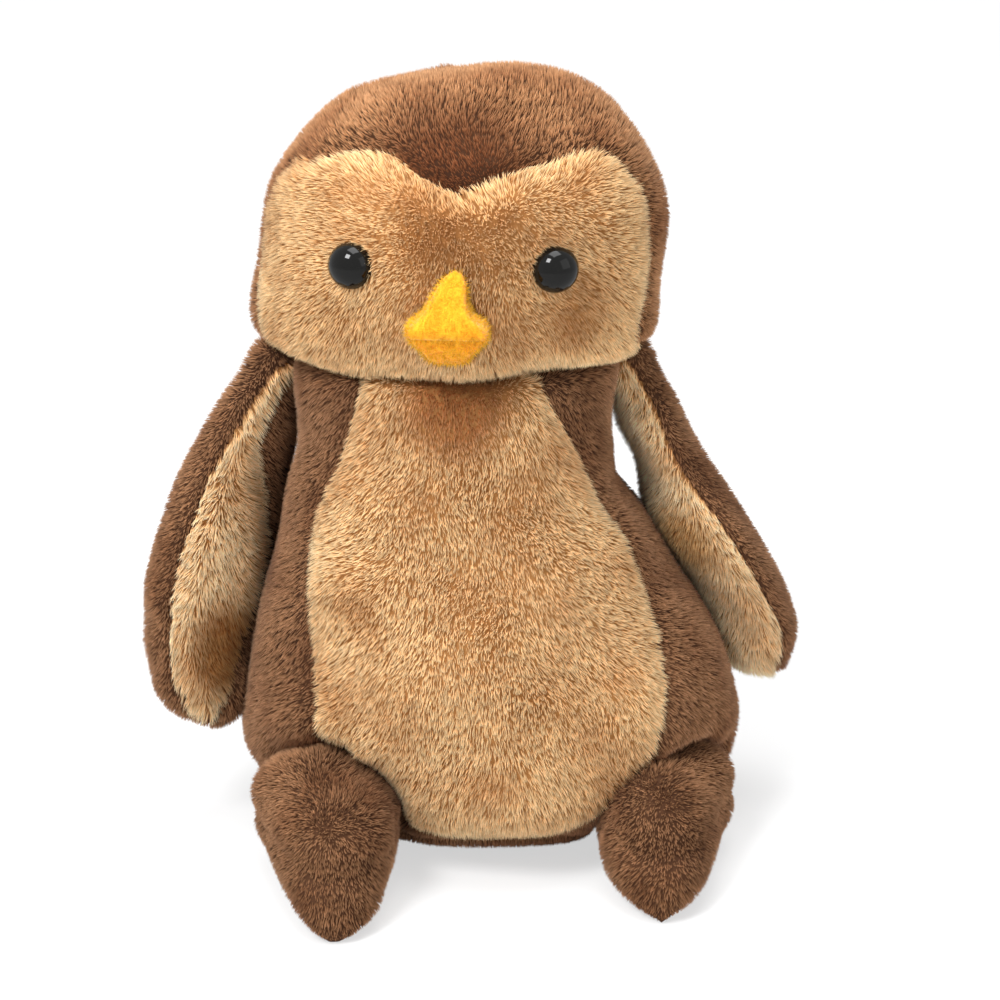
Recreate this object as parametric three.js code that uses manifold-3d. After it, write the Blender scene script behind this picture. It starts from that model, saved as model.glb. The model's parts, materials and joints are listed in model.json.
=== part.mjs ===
// Plush owl that sits on its seat with its legs out in front.
// Millimetres, +Z up. The floor is z = 0 and the owl looks along -Y.
// Left and right are as they are seen from in front, so left is -X.

import * as THREE from 'three';
import { mergeVertices } from 'three/addons/utils/BufferGeometryUtils.js';
import Module from 'manifold-3d';

const wasm = await Module();
wasm.setup();

// Cloth, seams and clearances
const cloth = 2.4; // plush cloth with its pile
const seam_gap = 0.3; // between two panels along a seam
const fill_gap = 0.3; // between cloth and filling
const joint_gap = 0.4; // between a limb and the body that it is sewn to
const swing_gap = 0.8; // between a swinging limb and the body on its way
const flat_cut = 0.5; // depth of the flats that the owl sits on
const overrun = 200; // how far a cutter runs past what it cuts

// Body, from the floor up to the neck
const body_height = 104;
const body_half_width = 50;
const body_half_depth = 38;
const body_lean = 7.5; // sideways shift of the neck from the seat
const seat_x = 5; // middle of the seat
const seat_back_shift = 9; // the flat of the seat lies this far behind the middle
const seat_seam_height = 4.5;
const side_seam_y = 5; // seam between side and back panels
const back_seam_x = 1;
const bean_level = 42; // height of the plastic beans in the body

// height, half width, half depth, lean and back shift, each as a share of its own size
const body_profile_shares = [
  [0, 0, 0, 0, 1],
  [0.0005, 0.27, 0.25, 0, 1],
  [0.004, 0.5, 0.46, 0, 0.97],
  [0.02, 0.7, 0.66, 0, 0.75],
  [0.055, 0.84, 0.81, 0, 0.42],
  [0.12, 0.94, 0.93, 0, 0.15],
  [0.21, 0.995, 0.99, 0.02, 0],
  [0.31, 0.985, 1, 0.09, 0],
  [0.43, 0.91, 0.96, 0.26, 0],
  [0.56, 0.81, 0.88, 0.52, 0],
  [0.69, 0.695, 0.78, 0.8, 0],
  [0.81, 0.63, 0.69, 0.95, 0],
  [0.92, 0.64, 0.66, 1, 0],
  [1.01, 0.65, 0.65, 1, 0],
  [1.07, 0.6, 0.6, 1, 0],
  [1.09, 0, 0, 1, 0],
];

// Belly panel, seen from in front
const belly_half_width = 35;
const belly_bottom = 5.5; // height of its lowest point
const belly_x = 3.3;
const belly_lean = 7.3; // sideways shift of its top end

// share of the height from bottom to neck, then half width and lean
const belly_outline_shares = [
  [1.03, 0.443, 1.05],
  [0.9, 0.582, 0.83],
  [0.77, 0.738, 0.62],
  [0.65, 0.866, 0.42],
  [0.52, 0.961, 0.2],
  [0.4, 1, 0],
  [0.28, 0.972, 0],
  [0.17, 0.855, 0],
  [0.075, 0.638, 0],
  [0.02, 0.376, 0],
  [0, 0, 0],
];

// Head, from the neck up
const head_height = 55.8;
const head_half_width = 40;
const head_half_depth = 31;
const head_x = -1.2;
const head_lean = 5; // sideways shift of the crown from the chin
const head_turn = -4; // degrees, the owl looks a little to its right
const hood_seam_y = 9; // seam between hood and back of the head

// height, half width, half depth and lean, each as a share of its own size
const head_profile_shares = [
  [-0.06, 0, 0, -0.35],
  [-0.05, 0.7, 0.66, -0.35],
  [-0.01, 0.89, 0.85, -0.35],
  [0.06, 0.95, 0.92, -0.4],
  [0.15, 0.985, 0.97, -0.4],
  [0.27, 0.99, 0.99, -0.2],
  [0.4, 1, 1, 0],
  [0.53, 0.985, 0.97, 0.05],
  [0.66, 0.925, 0.9, 0.15],
  [0.78, 0.81, 0.78, 0.3],
  [0.885, 0.64, 0.62, 0.45],
  [0.955, 0.43, 0.42, 0.75],
  [0.99, 0.18, 0.18, 1],
  [0.995, 0, 0, 1],
];

// Face panel, seen from in front: two humps with the hood's point between
const face_half_width = 37;
const face_height = 41.5; // from the neck to the top of the humps
const face_outline_shares = [
  [0, 0.885],
  [0.11, 0.91],
  [0.27, 0.95],
  [0.46, 0.985],
  [0.64, 0.99],
  [0.79, 0.965],
  [0.9, 0.91],
  [0.975, 0.82],
  [1, 0.7],
  [0.995, 0.57],
  [0.98, 0.44],
  [0.965, 0.32],
  [0.95, 0.2],
  [0.935, 0.09],
  [0.925, 0],
];

// Eyes on their shanks, with locking washers inside the cloth
const eye_spread = 19.4; // from the middle of the face
const eye_height = 23.2; // above the neck
const eye_radius = 4.5;
const eye_dome = 3.8;
const eye_edge = 1.2; // thickness of the rim
const eye_yaw = 17; // degrees that each eye looks outward
const eye_sink = 1.6; // how far its rim is pulled into the pile
const shank_radius = 1.5;
const shank_length = 9;
const washer_radius = 6;
const washer_bore = 1.8;
const washer_thickness = 1.4;
const pocket_gap = 0.3; // round the eyes and washers in the cloth and stuffing

// Beak, two soft felt pieces that meet in a crease
const beak_top = 24; // above the neck
const beak_crease = 11.4;
const beak_bottom = 5.2;
const beak_half_width = 8.6;
const beak_reach = 7.5; // how far the crease stands out from the face
const beak_root = 3; // how far the felt runs back before the face cuts it

// height from bottom to top, then half width
const beak_upper_shares = [
  [0.345, 0.9],
  [0.4, 1],
  [0.47, 0.86],
  [0.6, 0.56],
  [0.75, 0.4],
  [0.9, 0.27],
  [0.97, 0.16],
  [1, 0.02],
];
const beak_lower_shares = [
  [0.335, 0.86],
  [0.2, 0.68],
  [0.06, 0.52],
  [0, 0.38],
];

// The same seen from the side: place from the tip back to the face, then height
const beak_upper_side_shares = [
  [0.12, 0.32],
  [0, 0.4],
  [0.2, 0.58],
  [0.45, 0.78],
  [0.8, 1],
];
const beak_lower_side_shares = [
  [0.2, 0.34],
  [0.3, 0.21],
  [0.55, 0.06],
  [0.75, 0],
];

// Wings, sewn to the shoulders by their top ends
const wing_length = 79;
const wing_half_width = 19;
const wing_half_thickness = 7.2;
// splay and yaw in degrees; the middle bows outward, the tip lies further back, and the seam
// lies further toward the lining
const wing_left = { splay: 10, yaw: 52, bow: 6.5, back: -4, seam: 3.6 };
const wing_right = { splay: 24, yaw: 64, bow: 0, back: 9, seam: 1.6 };
// shares of the body's half width, half depth and height
const shoulder_left_shares = [-0.77, 0.105, 0.947];
const shoulder_right_shares = [0.635, 0.105, 0.947];
const wing_lift = [-3, 80]; // degrees, down against the body and up
const stuffing_shares = [0.04, 0.94]; // where it starts and ends along the wing

// place along the length, half width and half thickness
const wing_profile_shares = [
  [-0.03, 0, 0],
  [-0.025, 0.2, 0.35],
  [0.02, 0.4, 0.66],
  [0.12, 0.54, 0.82],
  [0.26, 0.7, 0.94],
  [0.42, 0.86, 1],
  [0.58, 0.98, 1],
  [0.73, 1, 0.98],
  [0.85, 0.88, 0.9],
  [0.94, 0.6, 0.7],
  [0.985, 0.28, 0.38],
  [1, 0, 0],
];

// Legs, sewn to the hips, stubby and with pointed toes
const leg_radius = 14;
const leg_length = 34.5; // from the hip to the toe
// shares of the body's half width and half depth
const hip_left_shares = [-0.54, -0.632];
const hip_right_shares = [0.745, -0.4];
const leg_swing = [-30, 35]; // degrees, hanging down and lifted

// place along the length from the hip, half width and half height
const leg_profile_shares = [
  [0, 1, 1],
  [0.14, 0.965, 0.965],
  [0.35, 0.95, 0.94],
  [0.56, 0.9, 0.9],
  [0.75, 0.79, 0.78],
  [0.89, 0.57, 0.58],
  [0.97, 0.29, 0.33],
  [1, 0, 0],
];

// Facets
const body_facets = 24;
const head_facets = 24;
const wing_facets = 14;
const leg_facets = 12;
const socket_facets = 16;
const eye_facets = 12;
const eye_steps = 4; // rings on the dome
const wing_steps = 10; // along the seam
const swing_steps = 4; // places at which a limb's cut is taken
const outline_steps = 13; // on each side of a panel
const filling_share = 2 / 3; // a filling has this share of its cloth's facets
const clearance_facets = 16; // of the form that keeps the limbs clear of the body
const clearance_steps = 20;
const root_steps = 4; // rings on the round end of a leg

// Finishes
const finish = {
  brown: { color: 0x7b563a, roughness: 0.95, metalness: 0 },
  tan: { color: 0xcc9c67, roughness: 0.95, metalness: 0 },
  felt: { color: 0xf6b62c, roughness: 0.9, metalness: 0 },
  black: { color: 0x0b0908, roughness: 0.12, metalness: 0 },
  white: { color: 0xe9e6df, roughness: 0.6, metalness: 0 },
  fibre: { color: 0xf4f1ea, roughness: 1, metalness: 0 },
  beans: { color: 0xdedbd2, roughness: 0.7, metalness: 0 },
};

// Solids
function solid(geometry) {
  const plain = geometry.clone();
  plain.deleteAttribute('normal');
  plain.deleteAttribute('uv');
  const merged = mergeVertices(plain);
  const mesh = new wasm.Mesh({
    numProp: 3,
    vertProperties: new Float32Array(merged.attributes.position.array),
    triVerts: new Uint32Array(merged.index.array),
  });
  return new wasm.Manifold(mesh);
}

function toGeometry(manifold) {
  const mesh = manifold.getMesh();
  const geometry = new THREE.BufferGeometry();
  geometry.setAttribute('position', new THREE.BufferAttribute(mesh.vertProperties, mesh.numProp));
  geometry.setIndex(new THREE.BufferAttribute(mesh.triVerts, 1));
  geometry.computeVertexNormals();
  return geometry;
}

function box(low, high) {
  const size = high.map((value, axis) => value - low[axis]);
  const middle = high.map((value, axis) => (value + low[axis]) / 2);
  return solid(new THREE.BoxGeometry(...size).translate(...middle));
}

function below(height) {
  return box([-overrun, -overrun, -overrun], [overrun, overrun, height]);
}

function above(height) {
  return box([-overrun, -overrun, height], [overrun, overrun, overrun]);
}

function behind(y) {
  return box([-overrun, y, -overrun], [overrun, overrun, overrun]);
}

function inFront(y) {
  return box([-overrun, -overrun, -overrun], [overrun, y, overrun]);
}

function leftOf(x) {
  return box([-overrun, -overrun, -overrun], [x, overrun, overrun]);
}

function rightOf(x) {
  return box([x, -overrun, -overrun], [overrun, overrun, overrun]);
}

// A form that swells and tapers: oval sections on a smooth curve through the rows.
// A row holds the section's middle (x, y), its height z, and its two half sizes.
function swelling(rows, facets, steps, turn = 0) {
  const middles = new THREE.CatmullRomCurve3(rows.map((row) => new THREE.Vector3(...row.middle)));
  const halves = new THREE.CatmullRomCurve3(rows.map((row) => new THREE.Vector3(...row.half, 0)));
  const geometry = new THREE.SphereGeometry(1, facets, steps);
  const { position, uv } = geometry.attributes;
  const swing = THREE.MathUtils.degToRad(turn);
  for (let i = 0; i < position.count; i += 1) {
    const along = uv.getY(i) < 0 ? 0 : uv.getY(i);
    const middle = middles.getPoint(along);
    const half = halves.getPoint(along);
    const across = new THREE.Vector2(position.getX(i), -position.getZ(i));
    const length = across.length();
    if (along === 0 || along === 1) across.set(0, 0);
    else across.divideScalar(length).multiply(new THREE.Vector2(half.x, half.y));
    across.rotateAround(new THREE.Vector2(), swing);
    position.setXYZ(i, middle.x + across.x, middle.y + across.y, middle.z);
  }
  return roundGeometry(geometry);
}

function roundGeometry(geometry) {
  geometry.deleteAttribute('normal');
  geometry.deleteAttribute('uv');
  const merged = mergeVertices(geometry);
  merged.computeVertexNormals();
  return merged;
}

// The same form with its surface moved out, or in where the distance is negative
function grown(geometry, distance) {
  const copy = geometry.clone();
  const { position, normal } = copy.attributes;
  for (let i = 0; i < position.count; i += 1) {
    position.setXYZ(
      i,
      position.getX(i) + normal.getX(i) * distance,
      position.getY(i) + normal.getY(i) * distance,
      position.getZ(i) + normal.getZ(i) * distance,
    );
  }
  return copy;
}

// How far the flats of a round form lie inside its corners
function sag(half, facets) {
  return half * (1 - Math.cos(Math.PI / facets));
}

// An outline in the X-Z plane, run through the object along Y from one place to another
function frontCutter(outline, from, to) {
  const shape = new THREE.Shape(outline.map(([x, z]) => new THREE.Vector2(x, z)));
  const geometry = new THREE.ExtrudeGeometry(shape, { depth: to - from, bevelEnabled: false });
  geometry.rotateX(Math.PI / 2);
  geometry.translate(0, to, 0);
  return solid(geometry);
}

// An outline made wider by a seam's gap, away from its own middle
function widened(outline, gap) {
  const points = outline.map(([x, z]) => new THREE.Vector2(x, z));
  return points.map((point, i) => {
    const before = points[(i + points.length - 1) % points.length];
    const after = points[(i + 1) % points.length];
    const along = after.clone().sub(before).normalize();
    return [point.x + along.y * gap, point.y - along.x * gap];
  });
}

function smooth(points, steps) {
  const curve = new THREE.SplineCurve(points.map(([x, z]) => new THREE.Vector2(x, z)));
  return curve.getPoints(steps).map((point) => [point.x, point.y]);
}

// Turn a solid about a pivot, by an axis that is X or Y
function turned(manifold, pivot, axis, degrees) {
  const matrix = new THREE.Matrix4().makeTranslation(...pivot);
  const angle = THREE.MathUtils.degToRad(degrees);
  const turn = new THREE.Matrix4();
  if (axis === 'x') turn.makeRotationX(angle);
  else turn.makeRotationY(angle);
  matrix.multiply(turn).multiply(new THREE.Matrix4().makeTranslation(...pivot.map((v) => -v)));
  return manifold.transform(matrix.elements);
}

// What the larger form covers of a limb that swings about its pivot between two angles
function sweptBy(larger, pivot, axis, [from, to], sign) {
  let swept = larger;
  for (let step = 0; step <= swing_steps; step += 1) {
    const angle = from + (to - from) * (step / swing_steps);
    swept = swept.add(turned(larger, pivot, axis, -sign * angle));
  }
  return swept;
}

const owl = new THREE.Group();
owl.name = 'plush_owl';

function addPiece(group, name, manifold, look) {
  const material = new THREE.MeshStandardMaterial(look);
  const mesh = new THREE.Mesh(toGeometry(manifold), material);
  mesh.name = name;
  group.add(mesh);
}

// Body
function bodyForm(facets, steps) {
  const full = body_height + flat_cut;
  const rows = body_profile_shares.map(([height, width, depth, lean, back]) => ({
    middle: [seat_x - body_lean * lean, seat_back_shift * back, full * height - flat_cut],
    half: [body_half_width * width, body_half_depth * depth],
  }));
  return swelling(rows, facets, steps);
}

function bellyOutline() {
  const rise = body_height - belly_bottom;
  const side = (sign) => belly_outline_shares.map(([height, width, lean]) => [
    belly_x - belly_lean * lean + sign * belly_half_width * width,
    belly_bottom + rise * height,
  ]);
  const left = smooth(side(-1), outline_steps);
  const right = smooth(side(1).reverse(), outline_steps).slice(1);
  return [...left, ...right];
}

const body_outer = bodyForm(body_facets, body_profile_shares.length);
const body_inner = grown(body_outer, -cloth);
const body_fill = grown(
  bodyForm(body_facets * filling_share, body_profile_shares.length),
  -cloth - fill_gap - sag(body_half_width, body_facets),
);

// Where the limbs are sewn to the body
function shoulder([x, y, z]) {
  return [body_half_width * x, body_half_depth * y, body_height * z];
}

function hip([x, y]) {
  return [body_half_width * x, body_half_depth * y, leg_radius - flat_cut];
}

const hip_left = hip(hip_left_shares);
const hip_right = hip(hip_right_shares);

// Balls at the hips whose flats stay outside the given radius
function hipBalls(radius) {
  const corner = radius / Math.cos(Math.PI / socket_facets) ** 2;
  const [left, right] = [hip_left, hip_right].map((place) => {
    const geometry = new THREE.SphereGeometry(corner, socket_facets, socket_facets / 2);
    return solid(geometry.translate(...place));
  });
  return left.add(right);
}

const hip_sockets = hipBalls(leg_radius + swing_gap);
const neck_height = body_height - joint_gap / 2;

function makeBody() {
  const limits = below(0).add(above(neck_height)).add(hip_sockets);
  const shell = solid(body_outer).subtract(solid(body_inner)).subtract(limits);
  const outline = bellyOutline();
  const belly = frontCutter(outline, -overrun, 0);
  const belly_seam = frontCutter(widened(outline, seam_gap), -overrun, 0);
  const upper = shell.subtract(below(seat_seam_height + seam_gap / 2));
  const front = upper.intersect(inFront(side_seam_y - seam_gap / 2)).subtract(belly_seam);
  const back = upper.intersect(behind(side_seam_y + seam_gap / 2));
  addPiece(owl, 'belly_panel', upper.intersect(belly), finish.tan);
  addPiece(owl, 'side_panel_left', front.intersect(leftOf(belly_x - seam_gap / 2)), finish.brown);
  addPiece(owl, 'side_panel_right', front.intersect(rightOf(belly_x + seam_gap / 2)), finish.brown);
  addPiece(owl, 'back_panel_left', back.intersect(leftOf(back_seam_x - seam_gap / 2)), finish.brown);
  addPiece(owl, 'back_panel_right', back.intersect(rightOf(back_seam_x + seam_gap / 2)), finish.brown);
  addPiece(owl, 'seat_panel', shell.intersect(below(seat_seam_height - seam_gap / 2)), finish.brown);
  const fill = solid(body_fill).subtract(above(neck_height)).subtract(hip_sockets);
  const beans = fill.intersect(below(bean_level - fill_gap / 2)).subtract(below(cloth + fill_gap));
  addPiece(owl, 'body_beans', beans, finish.beans);
  addPiece(owl, 'body_stuffing', fill.intersect(above(bean_level + fill_gap / 2)), finish.fibre);
}

// Head, made about its own upright line and then turned with the face
function headForm(facets) {
  const rows = head_profile_shares.map(([height, width, depth, lean]) => ({
    middle: [head_lean * lean, 0, head_height * height],
    half: [head_half_width * width, head_half_depth * depth],
  }));
  return swelling(rows, facets, rows.length - 1);
}

function faceOutline() {
  const side = (sign) => face_outline_shares.map(([height, width]) => [
    sign * face_half_width * width,
    face_height * height,
  ]);
  const [, foot_width] = face_outline_shares[0];
  const foot = [-face_half_width * foot_width, -cloth];
  const left = [foot, ...smooth(side(-1), outline_steps)];
  const right = left.map(([x, z]) => [-x, z]).reverse().slice(1);
  return [...left, ...right].reverse();
}

// Depth of the head's surface at a place on the face
function faceDepth(form, x, z) {
  const ray = new THREE.Raycaster(new THREE.Vector3(x, -overrun, z), new THREE.Vector3(0, 1, 0));
  const surface = new THREE.Mesh(form, new THREE.MeshBasicMaterial({ side: THREE.DoubleSide }));
  return ray.intersectObject(surface)[0].point.y;
}

function turnedPart(points, place, yaw) {
  const profile = points.map(([radius, height]) => new THREE.Vector2(radius, height));
  const geometry = new THREE.LatheGeometry(profile, eye_facets);
  geometry.rotateX(Math.PI);
  geometry.rotateZ(THREE.MathUtils.degToRad(yaw));
  geometry.translate(...place);
  return solid(geometry);
}

// Profiles run from the back up: the shank points into the head, the dome out of it
function eyeProfile(gap) {
  const arc = [];
  for (let step = 0; step <= eye_steps; step += 1) {
    const angle = (Math.PI / 2) * (step / eye_steps);
    arc.push([(eye_radius + gap) * Math.cos(angle), eye_edge + (eye_dome + gap) * Math.sin(angle)]);
  }
  arc[eye_steps][0] = 0;
  return [
    [0, -shank_length - gap],
    [shank_radius + gap, -shank_length - gap],
    [shank_radius + gap, -gap],
    [eye_radius + gap, -gap],
    ...arc,
  ];
}

function washerProfile(bore, gap, ahead = gap) {
  const front = -cloth + eye_sink - fill_gap;
  const back = front - washer_thickness;
  const outer = washer_radius + gap;
  const ring = [[bore, back - gap], [outer, back - gap], [outer, front + ahead], [bore, front + ahead]];
  return bore > 0 ? [...ring, ring[0]] : ring;
}

function makeHead() {
  const head = new THREE.Group();
  head.position.set(head_x, 0, body_height);
  head.rotation.z = THREE.MathUtils.degToRad(head_turn);
  owl.add(head);

  const outer = headForm(head_facets);
  const filling = headForm(head_facets * filling_share);
  const limit = below(joint_gap / 2);
  const shell = solid(outer).subtract(solid(grown(outer, -cloth))).subtract(limit);
  const fill = solid(grown(filling, -cloth - fill_gap - sag(head_half_width, head_facets)));
  const outline = faceOutline();
  const face = frontCutter(outline, -overrun, 0);
  const face_seam = frontCutter(widened(outline, seam_gap), -overrun, 0);

  let face_cuts = limit;
  let stuffing_cuts = limit;
  for (const [side, sign] of [['left', -1], ['right', 1]]) {
    const depth = faceDepth(outer, sign * eye_spread, eye_height);
    const yaw = sign * eye_yaw;
    const inward = THREE.MathUtils.degToRad(yaw);
    const place = [
      sign * eye_spread - Math.sin(inward) * eye_sink,
      depth + Math.cos(inward) * eye_sink,
      eye_height,
    ];
    addPiece(head, `eye_${side}`, turnedPart(eyeProfile(0), place, yaw), finish.black);
    const washer = turnedPart(washerProfile(washer_bore, 0), place, yaw);
    addPiece(head, `eye_washer_${side}`, washer, finish.white);
    const eye_pocket = turnedPart(eyeProfile(pocket_gap), place, yaw);
    const washer_pocket = turnedPart(washerProfile(0, pocket_gap), place, yaw);
    const washer_way = turnedPart(washerProfile(0, pocket_gap, cloth), place, yaw);
    face_cuts = face_cuts.add(eye_pocket).add(washer_pocket);
    stuffing_cuts = stuffing_cuts.add(eye_pocket).add(washer_way);
  }

  const face_cloth = shell.intersect(face).subtract(face_cuts);
  const hood = shell.subtract(face_seam).intersect(inFront(hood_seam_y - seam_gap / 2));
  const back = shell.intersect(behind(hood_seam_y + seam_gap / 2));
  addPiece(head, 'face_panel', face_cloth, finish.tan);
  addPiece(head, 'hood_panel', hood, finish.brown);
  addPiece(head, 'head_back_left', back.intersect(leftOf(-seam_gap / 2)), finish.brown);
  addPiece(head, 'head_back_right', back.intersect(rightOf(seam_gap / 2)), finish.brown);
  addPiece(head, 'head_stuffing', fill.subtract(stuffing_cuts), finish.fibre);
  makeBeak(head, outer);
}

// Each piece of the beak is its front view cut by its side view, by the crease and by the face
function makeBeak(head, outer) {
  const skin = solid(grown(outer, fill_gap));
  const rise = beak_top - beak_bottom;
  const face_y = faceDepth(outer, 0, beak_crease);
  const root = face_y + beak_root;
  const beakPiece = (front_shares, side_shares) => {
    const side = (sign) => front_shares.map(([height, width]) => [
      sign * beak_half_width * width,
      beak_bottom + rise * height,
    ]);
    const profile = side_shares.map(([place, height]) => [
      face_y - beak_reach * (1 - place),
      beak_bottom + rise * height,
    ]);
    const ends = [[root, profile.at(-1)[1]], [root, profile[0][1]]];
    const front_view = frontCutter([...side(-1), ...side(1).reverse()], -overrun, 0);
    const side_view = sideCutter([...profile, ...ends], beak_half_width + beak_root);
    return front_view.intersect(side_view).subtract(skin);
  };
  const upper = beakPiece(beak_upper_shares, beak_upper_side_shares);
  const lower = beakPiece(beak_lower_shares, beak_lower_side_shares);
  const crease_gap = seam_gap / 2;
  addPiece(head, 'beak_upper', upper.intersect(above(beak_crease + crease_gap)), finish.felt);
  addPiece(head, 'beak_lower', lower.intersect(below(beak_crease - crease_gap)), finish.felt);
}

// An outline in the Y-Z plane, run from side to side
function sideCutter(outline, half) {
  const shape = new THREE.Shape(outline.map(([y, z]) => new THREE.Vector2(y, z)));
  const geometry = new THREE.ExtrudeGeometry(shape, { depth: 2 * half, bevelEnabled: false });
  geometry.rotateX(Math.PI / 2);
  geometry.rotateZ(Math.PI / 2);
  geometry.translate(-half, 0, 0);
  return solid(geometry);
}

// Wings
function makeWing(side, sign, pivot, { splay, yaw, bow, back, seam }) {
  const lean = THREE.MathUtils.degToRad(splay);
  const spine = (share) => [
    pivot[0] + sign * (wing_length * share * Math.sin(lean) + bow * 4 * share * (1 - share)),
    pivot[1] + back * share,
    pivot[2] - wing_length * share * Math.cos(lean),
  ];
  const rows = wing_profile_shares.map(([share, width, thickness]) => ({
    middle: spine(share),
    half: [wing_half_width * width, wing_half_thickness * thickness],
  }));
  rows.reverse();
  const turn = -sign * yaw;
  const outer = swelling(rows, wing_facets, rows.length - 1, turn);
  const cutter = sweptBy(roundBody(joint_gap), pivot, 'y', wing_lift, -sign);
  const shell = solid(outer).subtract(solid(grown(outer, -cloth))).subtract(cutter);
  const [top, tip] = stuffing_shares.map((share) => spine(share)[2]);
  const ends = above(top).add(below(tip));
  const fill = solid(grown(outer, -cloth - fill_gap)).subtract(cutter).subtract(ends);
  const lining_side = wingFront(spine, turn, seam + seam_gap / 2);
  const outer_side = wingFront(spine, turn, seam - seam_gap / 2);
  addPiece(owl, `wing_${side}_lining`, shell.intersect(lining_side), finish.tan);
  addPiece(owl, `wing_${side}_outer`, shell.subtract(outer_side), finish.brown);
  addPiece(owl, `wing_${side}_stuffing`, fill, finish.fibre);
}

// Everything on the lining's side of the wing's middle surface
function wingFront(spine, turn, shift) {
  const angle = THREE.MathUtils.degToRad(turn);
  const facing = [Math.sin(angle), -Math.cos(angle)];
  const edge = [];
  for (let step = -2; step <= wing_steps + 2; step += 1) {
    const [x, y, z] = spine(step / wing_steps);
    edge.push([-(x * facing[0] + y * facing[1] + shift), z]);
  }
  const outline = [[-overrun, edge[0][1]], ...edge, [-overrun, edge.at(-1)[1]]];
  const shape = new THREE.Shape(outline.map(([n, z]) => new THREE.Vector2(n, z)));
  const geometry = new THREE.ExtrudeGeometry(shape, { depth: 2 * overrun, bevelEnabled: false });
  geometry.rotateX(Math.PI / 2);
  geometry.rotateZ(Math.PI / 2);
  geometry.translate(-overrun, 0, 0);
  geometry.rotateZ(angle);
  return solid(geometry);
}

// The body with room round it, in flats that stay outside its own
function roundBody(distance) {
  const room = distance + sag(body_half_width, clearance_facets);
  const form = grown(bodyForm(clearance_facets, clearance_steps), room);
  return solid(form).subtract(above(body_height)).subtract(hipBalls(leg_radius));
}

// Legs
function makeLeg(side, pivot) {
  const rows = [];
  for (let step = 0; step < root_steps; step += 1) {
    const angle = (Math.PI / 2) * (step / root_steps);
    const half = leg_radius * Math.sin(angle);
    rows.push({ middle: [0, 0, -leg_radius * Math.cos(angle)], half: [half, half] });
  }
  for (const [share, width, height] of leg_profile_shares) {
    rows.push({
      middle: [0, -leg_radius * (1 - height), leg_length * share],
      half: [leg_radius * width, leg_radius * height],
    });
  }
  const outer = swelling(rows, leg_facets, rows.length - 1);
  outer.rotateX(Math.PI / 2);
  outer.translate(...pivot);
  const cutter = sweptBy(roundBody(swing_gap), pivot, 'x', leg_swing, -1);
  const hollow = solid(grown(outer, -cloth)).subtract(below(cloth));
  const shell = solid(outer).subtract(below(0)).subtract(hollow).subtract(cutter);
  const filling = solid(grown(outer, -cloth - fill_gap)).subtract(below(cloth + fill_gap));
  const fill = filling.subtract(cutter);
  const seam = pivot[2];
  addPiece(owl, `leg_${side}_top`, shell.intersect(above(seam + seam_gap / 2)), finish.brown);
  addPiece(owl, `leg_${side}_sole`, shell.intersect(below(seam - seam_gap / 2)), finish.brown);
  addPiece(owl, `leg_${side}_beans`, fill, finish.beans);
}

makeBody();
makeHead();
makeWing('left', -1, shoulder(shoulder_left_shares), wing_left);
makeWing('right', 1, shoulder(shoulder_right_shares), wing_right);
makeLeg('left', hip_left);
makeLeg('right', hip_right);

// The origin is on the floor under the middle of the owl's box
owl.updateMatrixWorld(true);
const middle = new THREE.Box3().setFromObject(owl).getCenter(new THREE.Vector3());
owl.position.set(-middle.x, -middle.y, 0);

export default owl;
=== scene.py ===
"""Looks of the plush owl: stuffed cloth forms, their pile, the felt beak and the black eyes, in metres."""

import json
import math
from collections import namedtuple

import bmesh
import bpy
import numpy as np
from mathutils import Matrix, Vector
from mathutils.bvhtree import BVHTree
from mathutils.kdtree import KDTree


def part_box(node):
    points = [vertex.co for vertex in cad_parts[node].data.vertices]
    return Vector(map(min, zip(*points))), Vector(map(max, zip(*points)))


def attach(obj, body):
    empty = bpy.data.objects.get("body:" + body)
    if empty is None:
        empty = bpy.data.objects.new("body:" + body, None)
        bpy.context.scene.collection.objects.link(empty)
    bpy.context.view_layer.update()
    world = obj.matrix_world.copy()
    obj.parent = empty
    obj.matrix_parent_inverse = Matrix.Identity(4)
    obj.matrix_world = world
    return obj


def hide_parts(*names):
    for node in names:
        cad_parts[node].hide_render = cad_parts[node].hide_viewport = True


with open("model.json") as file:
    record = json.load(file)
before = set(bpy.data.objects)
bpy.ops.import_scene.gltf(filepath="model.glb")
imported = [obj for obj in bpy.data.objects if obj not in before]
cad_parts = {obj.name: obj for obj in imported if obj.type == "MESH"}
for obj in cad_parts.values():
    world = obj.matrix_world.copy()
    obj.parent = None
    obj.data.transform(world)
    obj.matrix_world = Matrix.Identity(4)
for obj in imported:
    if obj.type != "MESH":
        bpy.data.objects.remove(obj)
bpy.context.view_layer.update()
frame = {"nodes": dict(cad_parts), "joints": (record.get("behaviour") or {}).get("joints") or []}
nodes = frame["nodes"]
MM = 0.001

# ---------------------------------------------------------------- camera

SIGHT_POINT = Vector((-1.01, 10.32, 82)) * MM  # lies at pixel (470, 445)
SIGHT_DISTANCE = 700 * MM
SIGHT_HEIGHT = math.radians(20)
LENS, SENSOR = 126, 36
RIGHT_OF_SIGHT, BELOW_SIGHT = 6 * MM, 11 * MM


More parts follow.
